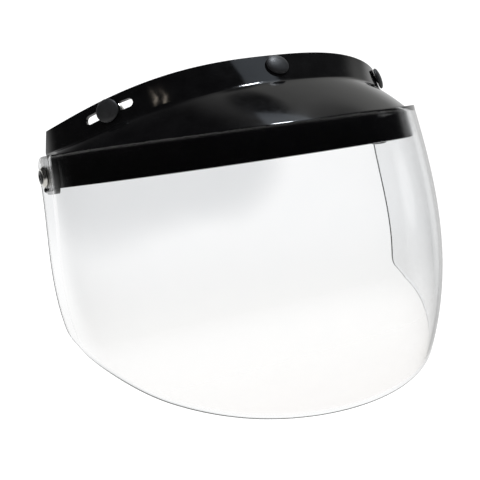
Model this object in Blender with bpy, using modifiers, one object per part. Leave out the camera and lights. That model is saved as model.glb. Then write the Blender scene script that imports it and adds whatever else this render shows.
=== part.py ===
"""Flip-up face shield: a clear lens on a black brow frame that snaps to an open-face helmet.

Run with: blender --background --python part.py

Units are metres with +Z up, +X the wearer's left and -Y the front. The drawing dimensions below are in
millimetres from a drawing datum: the centre plane, the lens's top edge and the middle of the wearer's
head. The finished object is moved so that its origin is the rear face of the centre snap socket.
"""

import math
from functools import lru_cache

import bmesh
import bpy
from mathutils import Matrix, Vector

MM = 0.001
SIDES = {"left": 1, "right": -1}  # the wearer's sides

# Lens plan: the outer face at the top edge. Its heading turns from 0 at the centre to the side heading
# at the bend, a little faster at the front, and a flat strip runs straight back from the bend.
LENS_FRONT_Y = -128.4
LENS_ARC = 174.0
LENS_SIDE_HEADING = math.radians(77.6)
LENS_HEADING_EASE = -0.138
LENS_STRIP = 21.0
LENS_THICKNESS = 2.0
# Outward bulge by drop below the top edge: cubic coefficients at the front, and for the flat strips.
FRONT_BULGE = (0.17, -7.0e-4, -5.5e-6)
FRONT_BULGE_POWER = 6
SIDE_BULGE = (0.0, 2.26e-3, -2.54e-5)
SIDE_BULGE_START = 10.0
REAR_EDGE_LEAN = 0.05
# Lower edge: drop below the top edge at fractions of the way from the centre to the rear edge.
LENS_LOWER_EDGE = ((0.0, 157.7), (0.31, 153.2), (0.58, 139.6), (0.8, 120.3), (1.0, 103.0))
LENS_LOWER_CORNER = 5.0
TOP_RISE = 2.0

# Pivots
PIVOT_EDGE_DISTANCE = 9.6
PIVOT_HOLE = 3.3
FLIP_RANGE = 70.0
STOP_RADIUS = 7.6
STOP_HOLE = 1.25

# Brow frame
WALL = 2.4
SKIRT_GAP = 5.5
SKIRT_HEIGHT = 17.2
FRAME_STRIP = 18.9
CREASE_FILLET = 2.4
PEAK_CROWN = 0.8
BAND_FRONT_Y = -88.6
BAND_RADIUS = 114.3
BAND_FLATTEN = 0.79
BAND_SWEEP = math.radians(88.5)
BAND_END_LEAN = 0.028
BAND_FOOT_CENTRE = 24.4
BAND_FOOT_END = 3.8
BAND_FOOT_POWER = 1.21
BAND_LEAN = (math.radians(35.0), math.radians(4.0))
BAND_WIDTH = (18.9, 12.4)
EAR_GAP = 3.2
EAR_THICKNESS = 3.0
EAR_FRONT = 2.0
EAR_REAR = 22.2
EAR_DROP = 20.2
EAR_CORNERS = (3.0, 9.0)

# Snap fasteners: places as (fraction along the band, fraction up the band)
CENTRE_SNAP = (0.0, 0.57)
SIDE_SNAP = (0.621, 0.54)
CAP_RADIUS = 6.75
CAP_HEIGHT = 3.4
STEM_RADIUS = 1.5
SOCKET_RADIUS = 6.2
SOCKET_DEPTH = 4.2
SOCKET_FLOOR = 0.8
SOCKET_BORE = 4.2
SPRING_WIRE = 0.4
CENTRE_HOLE = 1.8
SLOT_LENGTH = 30.0
SLOT_WIDTH = 5.0
SLIDER_PLATE = 1.0
RUN = 0.3
SLIDE_CLEARANCE = 0.6

# Mesh fineness
ARC_COLUMNS = 22
LENS_ROWS = 14
TURN_STEPS = 20


# ---------------------------------------------------------------- drawing geometry

def lens_heading(fraction):
    return LENS_SIDE_HEADING * (fraction + LENS_HEADING_EASE * (fraction ** 3 - fraction))


@lru_cache(maxsize=None)
def lens_plan(path):
    """Plan point and outward normal of the lens's outer top edge, at a distance from the centre."""
    side = math.copysign(1.0, path)
    run = min(abs(path), LENS_ARC)
    steps = 80
    point = Vector((0.0, LENS_FRONT_Y))
    for step in range(steps):
        heading = lens_heading((step + 0.5) / steps * run / LENS_ARC)
        point += Vector((math.cos(heading), math.sin(heading))) * run / steps
    heading = lens_heading(run / LENS_ARC)
    beyond = abs(path) - LENS_ARC
    if beyond >= 0.0:
        heading = (heading + math.pi / 2) / 2 if beyond < 1e-6 else math.pi / 2
        point.y += beyond
    return Vector((side * point.x, point.y)), Vector((side * math.sin(heading), -math.cos(heading)))


def cubic(coefficients, value):
    return sum(factor * value ** (power + 1) for power, factor in enumerate(coefficients))


def lens_bulge(path, drop):
    side = cubic(SIDE_BULGE, max(0.0, drop - SIDE_BULGE_START))
    frontness = 1.0 - min(abs(path) / LENS_ARC, 1.0) ** FRONT_BULGE_POWER
    return side + frontness * (cubic(FRONT_BULGE, max(0.0, drop)) - side)


def lens_surface(path, z, inset=0.0):
    """Point at a depth inside the lens's outer face."""
    point, normal = lens_plan(round(path, 4))
    outward = lens_bulge(path, -z) - inset
    return Vector((point.x + normal.x * outward, point.y + normal.y * outward, z))


def lower_edge(fraction):
    """Drop of the lens's lower edge, by cubic interpolation through its named points."""
    knots = [(-f, d) for f, d in reversed(LENS_LOWER_EDGE[1:])] + list(LENS_LOWER_EDGE)
    index = max(i for i in range(len(knots) - 1) if knots[i][0] <= fraction or i == 0)
    (f0, d0), (f1, d1) = knots[index], knots[index + 1]

    def slope(i):
        low, high = max(i - 1, 0), min(i + 1, len(knots) - 1)
        return (knots[high][1] - knots[low][1]) / (knots[high][0] - knots[low][0])

    t = (fraction - f0) / (f1 - f0)
    width = f1 - f0
    return (d0 * (1 + 2 * t) * (1 - t) ** 2 + slope(index) * width * t * (1 - t) ** 2
            + d1 * t * t * (3 - 2 * t) + slope(index + 1) * width * t * t * (t - 1))


def top_edge(path):
    """Height of the lens's top edge and of the frame's crease, which climb from the middle to the ears."""
    return TOP_RISE * (0.5 - 0.5 * math.cos(math.pi * min(abs(path) / LENS_ARC, 1.0)))


def corner_rise(distance, radius):
    """Height that a rounded corner takes off an edge, at a distance into the corner."""
    reach = min(max(distance, 0.0), radius)
    return radius - math.sqrt(max(radius * radius - reach * reach, 0.0))


PIVOT_PATH = LENS_ARC + LENS_STRIP - PIVOT_EDGE_DISTANCE
PIVOT_Z = -PIVOT_EDGE_DISTANCE
PIVOT_X = lens_plan(PIVOT_PATH)[0].x
PIVOT_Y = lens_plan(PIVOT_PATH)[0].y


def band_foot(s):
    """Point where the band rises from the peak, and the band's outward plan normal, at -1 to 1."""
    angle = s * BAND_SWEEP
    point = Vector((BAND_RADIUS * math.sin(angle),
                    BAND_FRONT_Y + BAND_RADIUS * BAND_FLATTEN * (1 - math.cos(angle)),
                    BAND_FOOT_END + (BAND_FOOT_CENTRE - BAND_FOOT_END)
                    * (0.5 + 0.5 * math.cos(math.pi * abs(s) ** BAND_FOOT_POWER))))
    normal = Vector((BAND_FLATTEN * math.sin(angle), -math.cos(angle), 0.0)).normalized()
    return point, normal


def band_point(s, rise):
    """Point on the band's outer face, at a fraction of its width above its foot."""
    foot, normal = band_foot(s * (1 - BAND_END_LEAN * rise))
    lean = BAND_LEAN[0] + (BAND_LEAN[1] - BAND_LEAN[0]) * (0.5 - 0.5 * math.cos(math.pi * s))
    width = BAND_WIDTH[0] + (BAND_WIDTH[1] - BAND_WIDTH[0]) * s * s
    up = Vector((0.0, 0.0, 1.0)) * math.cos(lean) - normal * math.sin(lean)
    return foot + up * width * rise


def snap_frame(s, rise):
    """Matrix at a snap: local Z outward, local X along the band, and the band's radius there."""
    centre = band_point(s, rise)
    step = 0.03
    before, after = band_point(s - step, rise), band_point(s + step, rise)
    along = (after - before).normalized()
    up = (band_point(s, rise + 0.1) - centre).normalized()
    outward = along.cross(up).normalized()
    across = outward.cross(along)
    sag = -((before + after) / 2 - centre).dot(outward)
    radius = ((after - before).length / 2) ** 2 / (2 * sag)
    matrix = Matrix((along, across, outward)).transposed().to_4x4()
    matrix.translation = centre
    return matrix, radius


CENTRE_FRAME = snap_frame(*CENTRE_SNAP)[0]
CENTRE_SOCKET_REAR = -WALL - RUN - SOCKET_DEPTH
DATUM = CENTRE_FRAME @ Vector((0.0, 0.0, CENTRE_SOCKET_REAR))


def place(matrix):
    """World matrix in metres, from a drawing matrix in millimetres."""
    world = matrix.copy()
    world.translation = (matrix.translation - DATUM) * MM
    return world


# ---------------------------------------------------------------- objects and modifiers

def clear_scene():
    for item in list(bpy.data.objects):
        bpy.data.objects.remove(item, do_unlink=True)
    for item in list(bpy.data.collections):
        bpy.data.collections.remove(item)


def collection(name):
    group = bpy.data.collections.new(name)
    bpy.context.scene.collection.children.link(group)
    return group


def material(name, colour, roughness, metallic=0.0, alpha=1.0):
    result = bpy.data.materials.new(name)
    result.use_nodes = True
    shader = result.node_tree.nodes["Principled BSDF"]
    shader.inputs["Base Color"].default_value = (*colour, 1.0)
    shader.inputs["Roughness"].default_value = roughness
    shader.inputs["Metallic"].default_value = metallic
    shader.inputs["Alpha"].default_value = alpha
    result.diffuse_color = (*colour, alpha)
    return result


def add_object(name, mesh, group, matrix=None):
    item = bpy.data.objects.new(name, mesh)
    group.objects.link(item)
    item.matrix_world = place(matrix if matrix else Matrix())
    return item


def modifier(item, kind, **settings):
    result = item.modifiers.new(kind.title(), kind)
    for key, value in settings.items():
        setattr(result, key, value)
    return result


def settle(item):
    """Replace an object's data by its evaluated mesh, welded at caps and seams, facing out."""
    bpy.context.view_layer.update()
    evaluated = item.evaluated_get(bpy.context.evaluated_depsgraph_get())
    mesh = bpy.data.meshes.new_from_object(evaluated)
    shape = bmesh.new()
    shape.from_mesh(mesh)
    bmesh.ops.remove_doubles(shape, verts=shape.verts, dist=1e-6)
    bmesh.ops.recalc_face_normals(shape, faces=shape.faces)
    shape.to_mesh(mesh)
    shape.free()
    mesh.name = item.name
    if item.type == "CURVE":
        settled = bpy.data.objects.new(item.name + "_mesh", mesh)
        item.users_collection[0].objects.link(settled)
        settled.matrix_world = item.matrix_world.copy()
        name = item.name
        bpy.data.objects.remove(item, do_unlink=True)
        settled.name = name
        return settled
    item.modifiers.clear()
    item.data = mesh
    return item


def finish(item, look, crease=32.0):
    """Settle a part, shade it and give it its material."""
    item = settle(item)
    item.data.materials.clear()
    item.data.materials.append(look)
    item.data.shade_smooth()
    item.data.set_sharp_from_angle(angle=math.radians(crease))
    return item


def mapped_grid(name, columns, rows, surface, group):
    """A grid whose column and row numbers are carried to points of a surface."""
    shape = bmesh.new()
    bmesh.ops.create_grid(shape, x_segments=columns, y_segments=rows, size=1.0)
    for vertex in shape.verts:
        column = round((vertex.co.x + 1) / 2 * columns)
        row = round((vertex.co.y + 1) / 2 * rows)
        vertex.co = surface(column, row) * MM
    mesh = bpy.data.meshes.new(name)
    shape.to_mesh(mesh)
    shape.free()
    return add_object(name, mesh, group)


def turned(name, profile, matrix, group, closed=False, steps=TURN_STEPS):
    """A turned piece: a profile of (radius, height) in millimetres, run down its outer side."""
    shape = bmesh.new()
    points = [shape.verts.new((radius * MM, 0.0, height * MM)) for radius, height in profile]
    for first, second in zip(points, points[1:]):
        shape.edges.new((first, second))
    if closed:
        shape.edges.new((points[-1], points[0]))
    mesh = bpy.data.meshes.new(name)
    shape.to_mesh(mesh)
    shape.free()
    item = add_object(name, mesh, group, matrix)
    modifier(item, "SCREW", axis="Z", steps=steps, render_steps=steps, use_merge_vertices=True,
             merge_threshold=1e-6, use_normal_calculate=True)
    return item


def outline_solid(name, points, thickness, matrix, group):
    """A flat outline given a thickness, centred on its own plane."""
    curve = bpy.data.curves.new(name, "CURVE")
    curve.dimensions = "2D"
    curve.fill_mode = "BOTH"
    curve.extrude = thickness / 2 * MM
    curve.resolution_u = 1
    curve.render_resolution_u = 0
    spline = curve.splines.new("POLY")
    spline.points.add(len(points) - 1)
    for point, (x, y) in zip(spline.points, points):
        point.co = (x * MM, y * MM, 0.0, 1.0)
    spline.use_cyclic_u = True
    return settle(add_object(name, curve, group, matrix))


def cylinder(name, radius, length, matrix, group, sides=TURN_STEPS):
    shape = bmesh.new()
    bmesh.ops.create_cone(shape, cap_ends=True, segments=sides, radius1=radius * MM,
                          radius2=radius * MM, depth=length * MM)
    mesh = bpy.data.meshes.new(name)
    shape.to_mesh(mesh)
    shape.free()
    return add_object(name, mesh, group, matrix)


def combine(item, tools, operation):
    for tool in tools:
        modifier(item, "BOOLEAN", object=tool, operation=operation, solver="EXACT")


def side_frame(side, centre):
    """Matrix with local Z outward along the pivot line, local X forward and local Y up or down."""
    outward = Vector((side, 0.0, 0.0))
    forward = Vector((0.0, -1.0, 0.0))
    matrix = Matrix((forward, outward.cross(forward), outward)).transposed().to_4x4()
    matrix.translation = centre
    return matrix


def pivot_frame(side):
    return side_frame(side, Vector((side * PIVOT_X, PIVOT_Y, PIVOT_Z)))


def stop_frame(side):
    return side_frame(side, Vector((side * PIVOT_X, PIVOT_Y, PIVOT_Z - STOP_RADIUS)))


def stadium(length, width, steps=8):
    """Outline of a slot with round ends."""
    radius = width / 2
    reach = length / 2 - radius
    points = []
    for end in (1, -1):
        for step in range(steps + 1):
            angle = math.pi * (step / steps - 0.5)
            points.append((end * (reach + radius * math.cos(angle)), end * radius * math.sin(angle)))
    return points


def arc_slot(radius, half_width, start, stop, steps=14):
    """Outline of a curved slot round a centre, with round ends, between two angles."""
    middle = [start + (stop - start) * step / steps for step in range(steps + 1)]
    points = [((radius + half_width) * math.cos(a), (radius + half_width) * math.sin(a)) for a in middle]
    for centre_angle, turn in ((stop, 0.0), (start, math.pi)):
        centre = Vector((math.cos(centre_angle), math.sin(centre_angle))) * radius
        for step in range(1, 6):
            angle = centre_angle + turn + math.pi * step / 6
            points.append(tuple(centre + Vector((math.cos(angle), math.sin(angle))) * half_width))
        if turn == 0.0:
            points += [((radius - half_width) * math.cos(a), (radius - half_width) * math.sin(a))
                       for a in reversed(middle)]
    return points


# ---------------------------------------------------------------- the parts

def lens_columns():
    """Distances along the lens's plan, with columns on the bends and round the rear corners."""
    arc = [LENS_ARC * step / ARC_COLUMNS for step in range(ARC_COLUMNS + 1)]
    flat = [LENS_ARC + (PIVOT_PATH - LENS_ARC) * step / 2 for step in (1, 2)]
    corner = [PIVOT_PATH + PIVOT_EDGE_DISTANCE * math.sin(math.pi / 2 * step / 6) for step in range(1, 7)]
    half = arc + flat + corner
    return [-path for path in reversed(half[1:])] + half


def build_lens(parts, tools, look):
    columns = lens_columns()
    rear = LENS_ARC + LENS_STRIP

    def surface(column, row):
        path = columns[column]
        reach = abs(path)
        top = top_edge(path) - corner_rise(reach - PIVOT_PATH, PIVOT_EDGE_DISTANCE)
        low = -lower_edge(reach / rear) + corner_rise(reach - rear + LENS_LOWER_CORNER, LENS_LOWER_CORNER)
        z = low + (top - low) * row / LENS_ROWS
        if reach > LENS_ARC:
            lean = 1.0 + REAR_EDGE_LEAN * z / LENS_STRIP
            path = math.copysign(LENS_ARC + (reach - LENS_ARC) * lean, path)
        return lens_surface(path, z)

    lens = mapped_grid("clear_lens", len(columns) - 1, LENS_ROWS, surface, parts)
    modifier(lens, "SOLIDIFY", thickness=LENS_THICKNESS * MM, offset=-1.0, use_even_offset=True)
    holes = []
    for name, side in SIDES.items():
        holes.append(cylinder(f"{name}_lens_pivot_hole", PIVOT_HOLE, 20, pivot_frame(side), tools))
        holes.append(cylinder(f"{name}_lens_stop_hole", STOP_HOLE, 20, stop_frame(side), tools, 12))
    combine(lens, holes, "DIFFERENCE")
    return finish(lens, look, crease=25.0)


def fillet(corner, toward_start, toward_end, steps=3):
    """Points that round a corner of a section, from one neighbour's side to the other's."""
    reach = min(CREASE_FILLET, 0.4 * (toward_start - corner).length, 0.4 * (toward_end - corner).length)
    first = corner + (toward_start - corner).normalized() * reach
    last = corner + (toward_end - corner).normalized() * reach
    points = []
    for step in range(steps + 1):
        t = step / steps
        points.append(first * (1 - t) ** 2 + corner * 2 * t * (1 - t) + last * t * t)
    return points


def frame_section(s):
    """Section of the brow frame from the skirt's lower edge to the band's top, at -1 to 1."""
    path = s * (LENS_ARC + FRAME_STRIP)
    lower = lens_surface(path, -SKIRT_HEIGHT, SKIRT_GAP)
    crease = lens_surface(path, top_edge(path), SKIRT_GAP)
    foot = band_point(s, 0.0)
    top = band_point(s, 1.0)
    crown = Vector((0.0, 0.0, PEAK_CROWN * (1 - s * s)))
    outer, inner = fillet(crease, lower, foot), fillet(foot, crease, top)
    section = [lower, lower.lerp(crease, 0.5)] + outer
    section += [outer[-1].lerp(inner[0], f) + crown * 4 * f * (1 - f) for f in (0.25, 0.5, 0.75)]
    section += inner
    section += [foot.lerp(top, f) for f in (0.45, 0.72, 1.0)]
    return section


def build_ear(name, side, tools):
    """Raised pad that carries a pivot, laid on the end of the frame."""
    front, rear = LENS_ARC + EAR_FRONT, LENS_ARC + EAR_REAR
    front_corner, rear_corner = EAR_CORNERS
    ahead = [front + front_corner * (1 - math.cos(math.pi / 2 * step / 3)) for step in range(4)]
    behind = [rear - rear_corner * (1 - math.sin(math.pi / 2 * step / 5)) for step in range(6)]
    columns = ahead + [(front + PIVOT_PATH) / 2, PIVOT_PATH] + behind
    if side < 0:
        columns = [-path for path in reversed(columns)]
    rows = 4

    def surface(column, row):
        reach = abs(columns[column])
        top_radius = rear - PIVOT_PATH
        top = top_edge(reach) - corner_rise(reach - PIVOT_PATH, top_radius) * PIVOT_EDGE_DISTANCE / top_radius
        low = -EAR_DROP + corner_rise(front + front_corner - reach, front_corner)
        low += corner_rise(reach - rear + rear_corner, rear_corner)
        return lens_surface(columns[column], low + (top - low) * row / rows, EAR_GAP)

    pad = mapped_grid(f"{name}_ear", len(columns) - 1, rows, surface, tools)
    modifier(pad, "SOLIDIFY", thickness=EAR_THICKNESS * MM, offset=-1.0, use_even_offset=True)
    return settle(pad)


def build_frame(parts, tools, look):
    bend = LENS_ARC / (LENS_ARC + FRAME_STRIP)
    half = [bend * step / ARC_COLUMNS for step in range(ARC_COLUMNS + 1)]
    half += [bend + (1 - bend) * step / 3 for step in (1, 2, 3)]
    columns = [-s for s in reversed(half[1:])] + half
    sections = [frame_section(s) for s in columns]
    frame = mapped_grid("brow_frame", len(columns) - 1, len(sections[0]) - 1,
                        lambda column, row: sections[column][row], parts)
    modifier(frame, "SOLIDIFY", thickness=WALL * MM, offset=-1.0, use_even_offset=True)
    combine(frame, [build_ear(name, side, tools) for name, side in SIDES.items()], "UNION")
    cuts = [cylinder("centre_snap_hole", CENTRE_HOLE, 14, CENTRE_FRAME, tools)]
    for name, side in SIDES.items():
        snap, _ = snap_frame(side * SIDE_SNAP[0], SIDE_SNAP[1])
        cuts.append(outline_solid(f"{name}_slot", stadium(SLOT_LENGTH, SLOT_WIDTH), 14, snap, tools))
        cuts.append(cylinder(f"{name}_frame_pivot_hole", PIVOT_HOLE, 30, pivot_frame(side), tools))
        slack = RUN / STOP_RADIUS
        angles = [-math.pi / 2 - slack, -math.pi / 2 + math.radians(FLIP_RANGE) + slack]
        outline = arc_slot(STOP_RADIUS, STOP_HOLE, *angles)
        if side > 0:
            outline = [(x, -y) for x, y in reversed(outline)]
        cuts.append(outline_solid(f"{name}_stop_slot", outline, 30, pivot_frame(side), tools))
    combine(frame, cuts, "DIFFERENCE")
    return finish(frame, look)


def build_pivot(name, side, parts, tools, looks):
    """Screw, cup washer, friction washer, sleeve nut and stop rivet of one pivot."""
    frame = pivot_frame(side)
    inner_face = -SKIRT_GAP - WALL
    washer = [(1.8, 0.9), (4.2, 2.2), (4.7, 2.2), (6.2, 0.7), (6.2, RUN), (1.8, RUN)]
    finish(turned(f"{name}_pivot_cup_washer", washer, frame, parts, closed=True), looks["nickel"])
    screw = [(0.0, 3.0), (1.6, 2.9), (3.1, 2.6), (3.9, 2.35), (STEM_RADIUS, 1.15),
             (STEM_RADIUS, inner_face - 1.6), (0.0, inner_face - 1.6)]
    item = turned(f"{name}_pivot_screw", screw, frame, parts)
    combine(item, cross_recess(name, frame, tools), "DIFFERENCE")
    finish(item, looks["black_steel"])
    middle = -LENS_THICKNESS - RUN
    friction = [(PIVOT_HOLE, middle), (6.0, middle), (6.0, RUN - EAR_GAP), (PIVOT_HOLE, RUN - EAR_GAP)]
    finish(turned(f"{name}_friction_washer", friction, frame, parts, closed=True), looks["nylon"])
    bore = STEM_RADIUS + 0.25
    barrel = PIVOT_HOLE - RUN
    sleeve = [(bore, -0.1), (barrel, -0.1), (barrel, inner_face - RUN), (4.5, inner_face - RUN),
              (4.5, inner_face - RUN - 1.2), (4.2, inner_face - RUN - 1.5), (bore, inner_face - RUN - 1.5)]
    finish(turned(f"{name}_sleeve_nut", sleeve, frame, parts, closed=True), looks["nickel"])
    pin = STOP_HOLE - RUN
    rivet = [(0.0, 1.5), (0.8, 1.35), (1.3, 0.9), (1.3, RUN), (pin, RUN), (pin, -EAR_GAP - 2.4),
             (0.0, -EAR_GAP - 2.4)]
    finish(turned(f"{name}_stop_rivet", rivet, stop_frame(side), parts, steps=16), looks["black_steel"])


def cross_recess(name, frame, tools):
    """Cutters for a crossed recess in a screw's head."""
    cutters = []
    for number, turn in enumerate((45, 135)):
        bar = outline_solid(f"{name}_recess_{number}", stadium(4.6, 1.1, steps=3), 1.4,
                            frame @ Matrix.Translation((0, 0, 2.6))
                            @ Matrix.Rotation(math.radians(turn), 4, "Z"), tools)
        cutters.append(bar)
    return cutters


def spring_ring(name, height, frame, parts, look):
    """Split wire ring that grips the stud inside a snap socket."""
    curve = bpy.data.curves.new(name, "CURVE")
    curve.dimensions = "3D"
    curve.bevel_depth = SPRING_WIRE * MM
    curve.bevel_resolution = 1
    curve.use_fill_caps = True
    curve.resolution_u = 1
    curve.render_resolution_u = 0
    spline = curve.splines.new("POLY")
    count = 17
    radius = (SOCKET_BORE + 0.2) * MM
    spline.points.add(count - 1)
    for step, point in enumerate(spline.points):
        angle = math.radians(20 + 320 * step / (count - 1))
        point.co = (radius * math.cos(angle), radius * math.sin(angle), height * MM, 1.0)
    return finish(add_object(name, curve, parts, frame), look)


def build_snap(name, frame, gap, front, parts, looks):
    """Cap, socket and socket spring of one snap; the socket's front face is at a depth."""
    rear = front - SOCKET_DEPTH
    floor = front - SOCKET_FLOOR
    dome = [(CAP_RADIUS * math.sin(math.radians(a)),
             CAP_HEIGHT - 1.7 * (1 - math.cos(math.radians(a))) / (1 - math.cos(math.radians(80))))
            for a in (0, 16, 32, 48, 64, 80)]
    cap = dome + [(CAP_RADIUS, gap + 0.6), (CAP_RADIUS - 0.4, gap), (STEM_RADIUS, gap),
                  (STEM_RADIUS, floor - RUN), (2.8, floor - RUN), (2.8, floor - RUN - 0.4),
                  (0.0, floor - RUN - 0.4)]
    finish(turned(f"{name}_snap_cap", cap, frame, parts), looks["cap"])
    hole = STEM_RADIUS + RUN
    groove = SOCKET_BORE + 0.8
    socket = [(hole, front), (SOCKET_RADIUS - 0.6, front), (SOCKET_RADIUS, front - 0.6),
              (SOCKET_RADIUS, rear + 0.5), (SOCKET_RADIUS - 0.5, rear), (SOCKET_BORE, rear),
              (SOCKET_BORE, rear + 0.8), (groove, rear + 0.8), (groove, rear + 2.0),
              (SOCKET_BORE, rear + 2.0), (SOCKET_BORE, floor), (hole, floor)]
    finish(turned(f"{name}_snap_socket", socket, frame, parts, closed=True), looks["nickel"])
    spring_ring(f"{name}_snap_spring", rear + 1.4, frame, parts, looks["spring"])


def build_slider(name, frame, parts, look):
    """Flanged bush that runs in a slot and carries a side snap."""
    face = -WALL - SLIDE_CLEARANCE
    back = face - SLIDER_PLATE
    bore = STEM_RADIUS + RUN
    body = SLOT_WIDTH / 2 - RUN
    plate = SOCKET_RADIUS - 0.2
    bush = [(bore, -0.1), (body, -0.1), (body, face), (plate, face), (plate, back), (bore, back)]
    finish(turned(f"{name}_snap_slider", bush, frame, parts, closed=True), look)
    return back


def main():
    clear_scene()
    parts = collection("face_shield")
    tools = collection("cutters")
    looks = {
        "frame": material("gloss_black_plastic", (0.012, 0.012, 0.013), 0.12),
        "lens": material("clear_polycarbonate", (0.9, 0.92, 0.93), 0.03, alpha=0.2),
        "cap": material("satin_dark_enamel", (0.06, 0.063, 0.07), 0.38),
        "nickel": material("nickel_plate", (0.72, 0.71, 0.68), 0.22, metallic=1.0),
        "black_steel": material("black_steel", (0.03, 0.03, 0.032), 0.35, metallic=0.6),
        "nylon": material("white_nylon", (0.75, 0.75, 0.72), 0.5),
        "slider": material("black_acetal", (0.03, 0.03, 0.03), 0.45),
        "spring": material("spring_wire", (0.6, 0.6, 0.6), 0.3, metallic=1.0),
    }
    build_frame(parts, tools, looks["frame"])
    build_lens(parts, tools, looks["lens"])
    for name, side in SIDES.items():
        build_pivot(name, side, parts, tools, looks)
    build_snap("centre", CENTRE_FRAME, RUN, -WALL - RUN, parts, looks)
    for name, side in SIDES.items():
        frame, _ = snap_frame(side * SIDE_SNAP[0], SIDE_SNAP[1])
        back = build_slider(name, frame, parts, looks["slider"])
        build_snap(name, frame, SLIDE_CLEARANCE, back - RUN, parts, looks)
    for tool in tools.objects:
        tool.hide_render = True
        tool.display_type = "WIRE"


main()
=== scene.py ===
"""Looks for the flip-up face shield: fine surfaces, materials, studio light and camera."""

import math
from functools import lru_cache

import bmesh
import bpy
from mathutils import Matrix, Vector


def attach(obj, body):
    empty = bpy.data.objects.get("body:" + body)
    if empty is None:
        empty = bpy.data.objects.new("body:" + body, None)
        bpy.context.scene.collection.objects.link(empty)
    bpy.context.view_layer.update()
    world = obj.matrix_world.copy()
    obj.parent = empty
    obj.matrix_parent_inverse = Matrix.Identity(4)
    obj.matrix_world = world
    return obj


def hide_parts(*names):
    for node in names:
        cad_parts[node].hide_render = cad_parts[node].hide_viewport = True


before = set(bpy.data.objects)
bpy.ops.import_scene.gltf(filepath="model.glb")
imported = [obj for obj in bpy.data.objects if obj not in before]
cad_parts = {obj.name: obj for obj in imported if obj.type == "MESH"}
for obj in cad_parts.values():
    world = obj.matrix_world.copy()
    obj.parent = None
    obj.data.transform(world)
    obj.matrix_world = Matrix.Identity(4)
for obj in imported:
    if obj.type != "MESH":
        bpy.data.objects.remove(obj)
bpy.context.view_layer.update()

MM = 0.001
SIDES = {"left": 1, "right": -1}  # the wearer's sides: +X is the wearer's left

# ---------------------------------------------------------------- drawing sizes, in millimetres
# Datum: the centre plane, the lens's top edge and the middle of the wearer's head.

LENS_FRONT_Y = -128.4
LENS_ARC = 174.0
LENS_SIDE_HEADING = math.radians(77.6)
LENS_HEADING_EASE = -0.138
LENS_STRIP = 21.0
LENS_THICKNESS = 2.0
FRONT_BULGE = (0.17, -7.0e-4, -5.5e-6)
FRONT_BULGE_POWER = 6
SIDE_BULGE = (0.0, 2.26e-3, -2.54e-5)
SIDE_BULGE_START = 10.0
REAR_EDGE_LEAN = 0.05
LENS_LOWER_EDGE = ((0.0, 157.7), (0.31, 153.2), (0.58, 139.6), (0.8, 120.3), (1.0, 103.0))
LENS_LOWER_CORNER = 5.0
TOP_RISE = 2.0

PIVOT_EDGE_DISTANCE = 9.6
PIVOT_HOLE = 3.3
FLIP_RANGE = 70.0
STOP_RADIUS = 7.6
STOP_HOLE = 1.25

WALL = 2.4
SKIRT_GAP = 5.5
SKIRT_HEIGHT = 17.2
FRAME_STRIP = 18.9
CREASE_FILLET = 1.4
PEAK_CROWN = 0.8
BAND_FRONT_Y = -88.6
BAND_RADIUS = 114.3
BAND_FLATTEN = 0.79
BAND_SWEEP = math.radians(88.5)
BAND_END_LEAN = 0.028
BAND_FOOT_CENTRE = 24.4
BAND_FOOT_END = 3.8
BAND_FOOT_POWER = 1.21
BAND_LEAN = (math.radians(35.0), math.radians(4.0))
BAND_WIDTH = (18.9, 12.4)
EAR_GAP = 3.2
EAR_THICKNESS = 3.0
EAR_FRONT = 2.0
EAR_REAR = 22.2
EAR_DROP = 20.2
EAR_CORNERS = (3.0, 9.0)

CENTRE_SNAP = (0.0, 0.57)
SIDE_SNAP = (0.621, 0.54)
CAP_RADIUS = 6.75
CAP_HEIGHT = 3.4
STEM_RADIUS = 1.5
SOCKET_RADIUS = 6.2
SOCKET_DEPTH = 4.2
SOCKET_FLOOR = 0.8
SOCKET_BORE = 4.2
SPRING_WIRE = 0.4
SPRING_OFFSET = 0.2
CENTRE_HOLE = 1.8
SLOT_LENGTH = 30.0
SLOT_WIDTH = 5.0
SLIDER_PLATE = 1.0
DOME_RISE = 1.7
DOME_ANGLE = 80
DOME_STEP = 5
CLENCH_RADIUS = 2.8
CLENCH_THICKNESS = 0.4
GROOVE_DEPTH = 0.8
GROOVE_START, GROOVE_END = 0.8, 2.0
SPRING_HEIGHT = 1.4
SPRING_START, SPRING_SWEEP = 20, 320
SPRING_POINTS = 49
RUN = 0.3
SLIDE_CLEARANCE = 0.6

WASHER_BORE = 1.8
FRICTION_RADIUS = 6.0
THREAD_SLACK = 0.25
NUT_RADIUS = 4.5
NUT_HEIGHT = 1.5
NUT_CHAMFER = 0.3
SCREW_END = 1.6
RECESS_LENGTH, RECESS_WIDTH, RECESS_DEPTH = 4.6, 1.1, 1.4
RECESS_HEIGHT = 2.6
RIVET_RADIUS = 1.3
RIVET_TAIL = 2.4

# Lengths of the tools that cut holes, all longer than the wall they pass
BAND_CUT = 14
LENS_CUT = 20
PIVOT_CUT = 30

# Mesh fineness of the visible surfaces
ARC_COLUMNS = 66
LENS_ROWS = 40
TURN_STEPS = 64


# ---------------------------------------------------------------- drawing geometry

def lens_heading(fraction):
    return LENS_SIDE_HEADING * (fraction + LENS_HEADING_EASE * (fraction ** 3 - fraction))


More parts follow.
